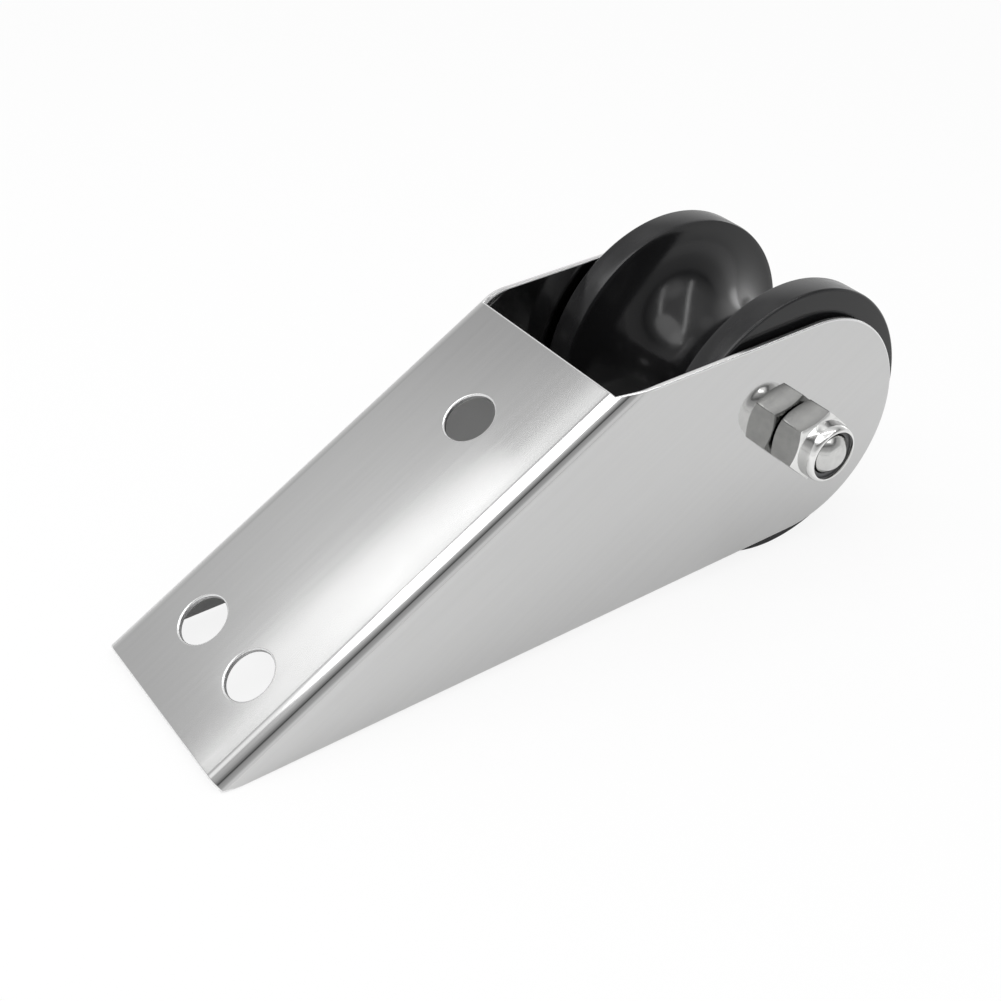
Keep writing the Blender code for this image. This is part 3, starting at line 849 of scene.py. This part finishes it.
def build_floor():
    """Pale floor that keeps the object's shadow, and reads as white paper to the camera."""
    mesh = bpy.data.meshes.new("studio_floor")
    height = cad_box[0].z
    corners = [(x * FLOOR_SIZE, y * FLOOR_SIZE, height) for x, y in ((-1, -1), (1, -1), (1, 1), (-1, 1))]
    mesh.from_pydata(corners, [], [(0, 1, 2, 3)])
    floor = put_in_scene("studio_floor", mesh)
    material, tree, shader = new_material("studio_paper", (0.84, 0.84, 0.84), 0.0, 0.8)
    paper = noise(tree, add_node(tree, "ShaderNodeTexCoord").outputs["Object"], (900.0, 900.0, 900.0))
    connect(tree, shader.inputs["Normal"], bump(tree, paper, 0.05 * MM, 0.1))
    rays = tree.nodes.new("ShaderNodeLightPath").outputs
    glow = tree.nodes.new("ShaderNodeEmission")
    glow.inputs["Strength"].default_value = 1.0
    mirrors = calc(tree, "MAXIMUM", rays["Is Glossy Ray"], rays["Is Transmission Ray"])
    seen = calc(tree, "MULTIPLY", rays["Is Camera Ray"], FLOOR_WHITE_SEEN)
    mirrored = calc(tree, "MULTIPLY", mirrors, FLOOR_WHITE_MIRRORED)
    mixed = add_node(tree, "ShaderNodeMixShader", calc(tree, "MAXIMUM", seen, mirrored),
                     shader.outputs[0], glow.outputs[0])
    connect(tree, tree.nodes["Material Output"].inputs["Surface"], mixed.outputs[0])
    mesh.materials.append(material)


def ramp(tree, share, stops):
    """Grey levels between named stops of a value from 0 to 1."""
    made = add_node(tree, "ShaderNodeValToRGB", share)
    made.color_ramp.interpolation = "EASE"
    points = made.color_ramp.elements
    while len(points) < len(stops):
        points.new(1.0)
    for point, (where, level) in zip(points, stops):
        point.position = where
        point.color = (level, level, level, 1.0)
    return made.outputs[0]


def lit_spot(tree, way, azimuth, elevation, spread):
    """How far a direction lies inside a lit spot of the room: 1 in its middle, 0 at its spread."""
    turn, rise = math.radians(azimuth), math.radians(elevation)
    middle = (math.sin(turn) * math.cos(rise), math.cos(turn) * math.cos(rise), math.sin(rise))
    nearness = add_node(tree, "ShaderNodeVectorMath", way, middle, operation="DOT_PRODUCT")
    made = add_node(tree, "ShaderNodeMapRange", interpolation_type="SMOOTHSTEP")
    connect(tree, made.inputs["Value"], nearness.outputs["Value"])
    made.inputs["From Min"].default_value = math.cos(math.radians(spread))
    return made.outputs["Result"]


def build_world():
    """White backdrop, and round it the grey room and ceiling that the polished steel mirrors."""
    world = bpy.data.worlds.new("studio_world")
    bpy.context.scene.world = world
    world.use_nodes = True
    tree = world.node_tree
    tree.nodes.clear()
    rays = tree.nodes.new("ShaderNodeLightPath").outputs
    way = add_node(tree, "ShaderNodeTexCoord").outputs["Generated"]
    parts = add_node(tree, "ShaderNodeSeparateXYZ", way).outputs
    behind_part = ramp(tree, parts["Z"], ROOM_BEHIND_PART)
    behind_camera = ramp(tree, parts["Z"], ROOM_BEHIND_CAMERA)
    side = remap(tree, parts["Y"], -ROOM_BLEND, ROOM_BLEND, 0.0, 1.0)
    level = add_node(tree, "ShaderNodeRGBToBW", tint(tree, side, behind_camera, behind_part)).outputs[0]
    for azimuth, elevation, spread, more in LIT_SPOTS:
        level = calc(tree, "MULTIPLY_ADD", lit_spot(tree, way, azimuth, elevation, spread), more, level)
    mirrors = calc(tree, "MAXIMUM", rays["Is Glossy Ray"], rays["Is Transmission Ray"])
    lit = calc(tree, "MULTIPLY_ADD", mirrors, calc(tree, "SUBTRACT", level, WORLD_LIGHT), WORLD_LIGHT)
    background = tree.nodes.new("ShaderNodeBackground")
    background.inputs["Color"].default_value = (1.0, 1.0, 1.0, 1.0)
    connect(tree, background.inputs["Strength"], calc(tree, "MAXIMUM", rays["Is Camera Ray"], lit))
    tree.links.new(background.outputs[0], tree.nodes.new("ShaderNodeOutputWorld").inputs[0])


def add_softbox(name, place, aim, along, size, radiance, shape):
    """A panel that faces a place, its long side along a direction, as bright as its radiance."""
    lamp = bpy.data.lights.new(name, "AREA")
    lamp.shape = shape
    lamp.size, lamp.size_y = size
    area = size[0] * size[1] * (math.pi / 4 if shape == "ELLIPSE" else 1.0)
    lamp.energy = radiance * math.pi * area
    back = (Vector(place) - Vector(aim)).normalized()
    long_side = (Vector(along) - back * back.dot(Vector(along))).normalized()
    axes = Matrix((long_side, back.cross(long_side), back)).transposed()
    made = bpy.data.objects.new(name, lamp)
    made.matrix_world = Matrix.Translation(place) @ axes.to_4x4()
    bpy.context.scene.collection.objects.link(made)


def build_lamps():
    """The lamps whose reflections the steel shows: two before the web, three under the ceiling."""
    on_web = to_row()
    for name, aim, way, slant, size, radiance, shape in WEB_LAMPS:
        place = on_web @ Vector((aim[0] * MM, aim[1] * MM, 0.0))
        along = on_web.to_3x3() @ Vector((1.0, slant, 0.0))
        add_softbox(name, place + WEB_LAMP_DISTANCE * Vector(way), place, along, size, radiance, shape)
    for name, place, along, size, radiance, shape in CEILING_LAMPS:
        add_softbox(name, (*place, CEILING_HEIGHT), (*place, 0.0), (*along, 0.0), size, radiance, shape)


def build_camera():
    """Camera fitted to the photograph's outlines, holes and rims."""
    data = bpy.data.cameras.new("photo_camera")
    data.sensor_width = 36.0
    data.lens = CAMERA_LENS
    data.clip_start = 0.01
    data.clip_end = 20.0
    camera = bpy.data.objects.new("photo_camera", data)
    azimuth = Matrix.Rotation(-CAMERA_AZIMUTH, 4, "Z")
    elevation = Matrix.Rotation(math.pi / 2 - CAMERA_ELEVATION, 4, "X")
    roll = Matrix.Rotation(CAMERA_ROLL, 4, "Z")
    camera.matrix_world = Matrix.Translation(CAMERA_PLACE) @ azimuth @ elevation @ roll
    bpy.context.scene.collection.objects.link(camera)
    bpy.context.scene.camera = camera


build_floor()
build_world()
build_lamps()
build_camera()
bpy.context.scene.view_settings.view_transform = "Standard"
